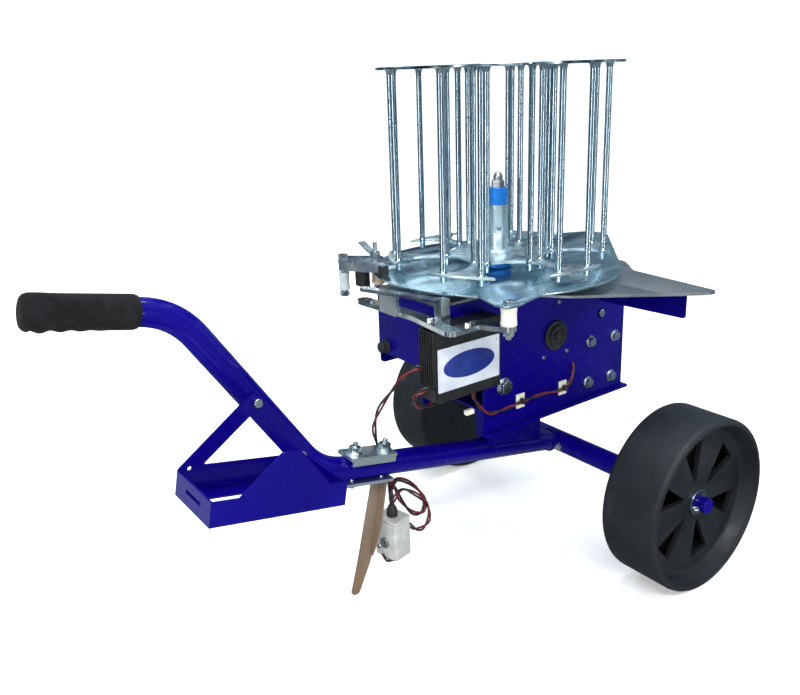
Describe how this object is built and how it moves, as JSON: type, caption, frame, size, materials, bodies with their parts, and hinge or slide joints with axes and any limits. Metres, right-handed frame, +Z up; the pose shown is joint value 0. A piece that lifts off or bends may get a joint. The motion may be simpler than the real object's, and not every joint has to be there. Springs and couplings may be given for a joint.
{
  "type": "clay target thrower",
  "caption": "Motor-driven throwing head with a carousel magazine of rod stacks on a two-wheel trolley with ground stake, battery tray and bent handle.",
  "frame": {"origin": "on the ground under the middle of the object's box", "axes": "+X from the handle towards the axle, +Y along the axle, +Z up"},
  "size_m": [1.0608, 0.652, 0.818],
  "materials": {
    "blue_paint": "gloss royal blue powder coat",
    "zinc_plate": "bright zinc plate",
    "plain_steel": "bare steel, lightly worn",
    "alloy": "machined aluminium",
    "wheel_plastic": "moulded black plastic, dusty",
    "foam_rubber": "soft matt rubber",
    "black_plastic": "satin black",
    "nylon": "natural nylon",
    "bright_blue": "blue anodised",
    "label_plate": "blank silver label",
    "grey_plastic": "mid grey moulded plastic",
    "wire_sheath": "dark red and black wire sheath"
  },
  "bodies": {
    "frame": {"drawbar_handle_tube": "blue_paint", "handle_grip": "foam_rubber", "battery_tray": "blue_paint", "tray_bolt_upper": "zinc_plate", "tray_bolt_lower": "zinc_plate", "clamp_plate_upper": "zinc_plate", "clamp_plate_lower": "zinc_plate", "clamp_bolt_front": "zinc_plate", "clamp_bolt_rear": "zinc_plate", "ground_stake": "plain_steel", "axle_tube": "blue_paint", "axle_bolt": "zinc_plate", "axle_stub_far": "blue_paint", "hub_washer_far": "zinc_plate", "split_pin_far": "zinc_plate", "axle_stub_near": "blue_paint", "hub_washer_near": "zinc_plate", "split_pin_near": "zinc_plate", "pedestal_bracket": "blue_paint", "housing_near_side": "blue_paint", "housing_far_side": "blue_paint", "housing_base_and_rear": "blue_paint", "housing_front_plate": "blue_paint", "side_bolt_upper_front": "zinc_plate", "side_bolt_upper_rear": "zinc_plate", "side_bolt_lower_front": "zinc_plate", "side_bolt_lower_rear": "zinc_plate", "pivot_bolt": "zinc_plate", "side_boss": "black_plastic", "throwing_plate": "plain_steel", "wing_fin": "blue_paint", "drive_motor": "black_plastic", "gearbox": "alloy", "throwing_spring": "plain_steel", "deck_plate": "zinc_plate", "nylon_spacer": "nylon", "spacer_bolt": "zinc_plate", "roller_bracket": "zinc_plate", "control_box": "black_plastic", "control_label": "label_plate", "switch_cable": "black_plastic", "side_wire": "wire_sheath", "cable_mount_front": "nylon", "cable_mount_rear": "nylon", "switch_box": "grey_plastic"},
    "near_wheel": {"wheel_near": "wheel_plastic"},
    "far_wheel": {"wheel_far": "wheel_plastic"},
    "magazine": {"magazine_star_and_rods": "zinc_plate", "magazine_top_star": "zinc_plate", "magazine_hub_tube": "alloy", "magazine_hub_ring": "bright_blue", "magazine_hub_band": "bright_blue", "magazine_hub_nut": "plain_steel"},
    "arm": {"arm_shaft_and_crank": "plain_steel", "throwing_arm": "alloy", "arm_rubber": "foam_rubber"},
    "lever": {"index_lever": "zinc_plate"},
    "front_roller": {"guide_roller_front": "nylon"},
    "rear_roller": {"guide_roller_rear": "nylon"},
    "toggle": {"switch_toggle": "plain_steel"}
  },
  "joints": [
    {"name": "wheel_near_spin", "type": "hinge", "parent": "frame", "child": "near_wheel", "pos_m": [0.35642, -0.277, 0.142], "axis": [0, 1, 0], "continuous": true},
    {"name": "wheel_far_spin", "type": "hinge", "parent": "frame", "child": "far_wheel", "pos_m": [0.35642, 0.277, 0.142], "axis": [0, 1, 0], "continuous": true},
    {"name": "magazine_spin", "type": "hinge", "parent": "frame", "child": "magazine", "pos_m": [0.19842, -0.012, 0.56], "axis": [0, 0, 1], "continuous": true},
    {"name": "throwing_arm_spin", "type": "hinge", "parent": "frame", "child": "arm", "pos_m": [0.39842, 0.01, 0.43], "axis": [0, 0, 1], "continuous": true},
    {"name": "index_lever_swing", "type": "hinge", "parent": "frame", "child": "lever", "pos_m": [0.05642, -0.186, 0.466], "axis": [0, 0, 1], "range_deg": [-3, 4]},
    {"name": "guide_roller_front_spin", "type": "hinge", "parent": "frame", "child": "front_roller", "pos_m": [-0.00858, 0.13, 0.487], "axis": [0, 0, 1], "continuous": true},
    {"name": "guide_roller_rear_spin", "type": "hinge", "parent": "frame", "child": "rear_roller", "pos_m": [0.03842, 0.1, 0.498], "axis": [0, 0, 1], "continuous": true},
    {"name": "switch_toggle_flip", "type": "hinge", "parent": "frame", "child": "toggle", "pos_m": [-0.03617, 0.00205, 0.076], "axis": [-0.2079, 0.9781, 0], "range_deg": [-12, 12]}
  ]
}
